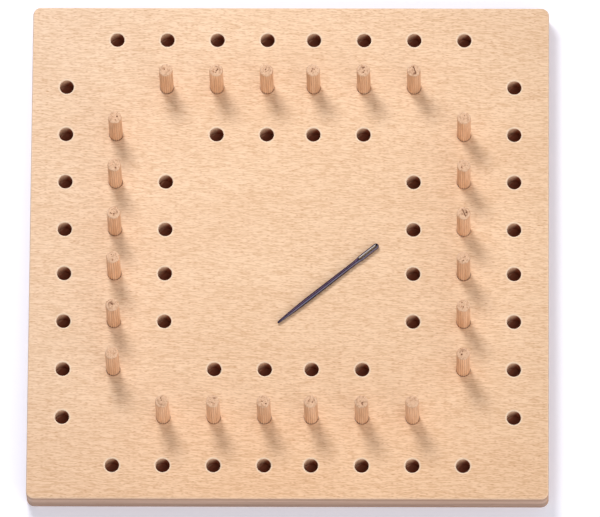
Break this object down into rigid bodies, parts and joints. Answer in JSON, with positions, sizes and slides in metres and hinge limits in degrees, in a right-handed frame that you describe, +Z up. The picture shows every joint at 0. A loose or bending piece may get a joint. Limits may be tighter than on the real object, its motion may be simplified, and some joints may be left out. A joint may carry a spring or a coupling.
{
  "type": "peg loom",
  "caption": "Square solid-wood peg loom: a flat board with rings of blind holes, fluted dowel pegs standing in the middle ring and a blunt weaving needle lying on top.",
  "frame": {"origin": "centre of the board's underside, on the surface that the loom lies on", "axes": "+Z up out of the board's drilled face, +X along the wood's grain to the right, +Y to the back"},
  "size_m": [0.3, 0.3, 0.046],
  "materials": {
    "board_wood": "fine sanded, unvarnished",
    "peg_wood": "pressed flutes, unvarnished",
    "needle_steel": "polished gunmetal"
  },
  "bodies": {
    "board": {"board": "board_wood"},
    "peg_back_1": {"peg_back_1": "peg_wood"},
    "peg_back_2": {"peg_back_2": "peg_wood"},
    "peg_back_3": {"peg_back_3": "peg_wood"},
    "peg_back_4": {"peg_back_4": "peg_wood"},
    "peg_back_5": {"peg_back_5": "peg_wood"},
    "peg_back_6": {"peg_back_6": "peg_wood"},
    "peg_right_1": {"peg_right_1": "peg_wood"},
    "peg_right_2": {"peg_right_2": "peg_wood"},
    "peg_right_3": {"peg_right_3": "peg_wood"},
    "peg_right_4": {"peg_right_4": "peg_wood"},
    "peg_right_5": {"peg_right_5": "peg_wood"},
    "peg_right_6": {"peg_right_6": "peg_wood"},
    "peg_front_1": {"peg_front_1": "peg_wood"},
    "peg_front_2": {"peg_front_2": "peg_wood"},
    "peg_front_3": {"peg_front_3": "peg_wood"},
    "peg_front_4": {"peg_front_4": "peg_wood"},
    "peg_front_5": {"peg_front_5": "peg_wood"},
    "peg_front_6": {"peg_front_6": "peg_wood"},
    "peg_left_1": {"peg_left_1": "peg_wood"},
    "peg_left_2": {"peg_left_2": "peg_wood"},
    "peg_left_3": {"peg_left_3": "peg_wood"},
    "peg_left_4": {"peg_left_4": "peg_wood"},
    "peg_left_5": {"peg_left_5": "peg_wood"},
    "peg_left_6": {"peg_left_6": "peg_wood"},
    "needle": {"needle": "needle_steel"}
  },
  "joints": [
    {"name": "peg_back_1_pull", "type": "slide", "parent": "board", "child": "peg_back_1", "axis": [0, 0, 1], "range_m": [0, 0.01]},
    {"name": "peg_back_2_pull", "type": "slide", "parent": "board", "child": "peg_back_2", "axis": [0, 0, 1], "range_m": [0, 0.01]},
    {"name": "peg_back_3_pull", "type": "slide", "parent": "board", "child": "peg_back_3", "axis": [0, 0, 1], "range_m": [0, 0.01]},
    {"name": "peg_back_4_pull", "type": "slide", "parent": "board", "child": "peg_back_4", "axis": [0, 0, 1], "range_m": [0, 0.01]},
    {"name": "peg_back_5_pull", "type": "slide", "parent": "board", "child": "peg_back_5", "axis": [0, 0, 1], "range_m": [0, 0.01]},
    {"name": "peg_back_6_pull", "type": "slide", "parent": "board", "child": "peg_back_6", "axis": [0, 0, 1], "range_m": [0, 0.01]},
    {"name": "peg_right_1_pull", "type": "slide", "parent": "board", "child": "peg_right_1", "axis": [0, 0, 1], "range_m": [0, 0.01]},
    {"name": "peg_right_2_pull", "type": "slide", "parent": "board", "child": "peg_right_2", "axis": [0, 0, 1], "range_m": [0, 0.01]},
    {"name": "peg_right_3_pull", "type": "slide", "parent": "board", "child": "peg_right_3", "axis": [0, 0, 1], "range_m": [0, 0.01]},
    {"name": "peg_right_4_pull", "type": "slide", "parent": "board", "child": "peg_right_4", "axis": [0, 0, 1], "range_m": [0, 0.01]},
    {"name": "peg_right_5_pull", "type": "slide", "parent": "board", "child": "peg_right_5", "axis": [0, 0, 1], "range_m": [0, 0.01]},
    {"name": "peg_right_6_pull", "type": "slide", "parent": "board", "child": "peg_right_6", "axis": [0, 0, 1], "range_m": [0, 0.01]},
    {"name": "peg_front_1_pull", "type": "slide", "parent": "board", "child": "peg_front_1", "axis": [0, 0, 1], "range_m": [0, 0.01]},
    {"name": "peg_front_2_pull", "type": "slide", "parent": "board", "child": "peg_front_2", "axis": [0, 0, 1], "range_m": [0, 0.01]},
    {"name": "peg_front_3_pull", "type": "slide", "parent": "board", "child": "peg_front_3", "axis": [0, 0, 1], "range_m": [0, 0.01]},
    {"name": "peg_front_4_pull", "type": "slide", "parent": "board", "child": "peg_front_4", "axis": [0, 0, 1], "range_m": [0, 0.01]},
    {"name": "peg_front_5_pull", "type": "slide", "parent": "board", "child": "peg_front_5", "axis": [0, 0, 1], "range_m": [0, 0.01]},
    {"name": "peg_front_6_pull", "type": "slide", "parent": "board", "child": "peg_front_6", "axis": [0, 0, 1], "range_m": [0, 0.01]},
    {"name": "peg_left_1_pull", "type": "slide", "parent": "board", "child": "peg_left_1", "axis": [0, 0, 1], "range_m": [0, 0.01]},
    {"name": "peg_left_2_pull", "type": "slide", "parent": "board", "child": "peg_left_2", "axis": [0, 0, 1], "range_m": [0, 0.01]},
    {"name": "peg_left_3_pull", "type": "slide", "parent": "board", "child": "peg_left_3", "axis": [0, 0, 1], "range_m": [0, 0.01]},
    {"name": "peg_left_4_pull", "type": "slide", "parent": "board", "child": "peg_left_4", "axis": [0, 0, 1], "range_m": [0, 0.01]},
    {"name": "peg_left_5_pull", "type": "slide", "parent": "board", "child": "peg_left_5", "axis": [0, 0, 1], "range_m": [0, 0.01]},
    {"name": "peg_left_6_pull", "type": "slide", "parent": "board", "child": "peg_left_6", "axis": [0, 0, 1], "range_m": [0, 0.01]},
    {"name": "needle_lift", "type": "slide", "parent": "board", "child": "needle", "axis": [0, 0, 1], "range_m": [0, 0.035]}
  ]
}
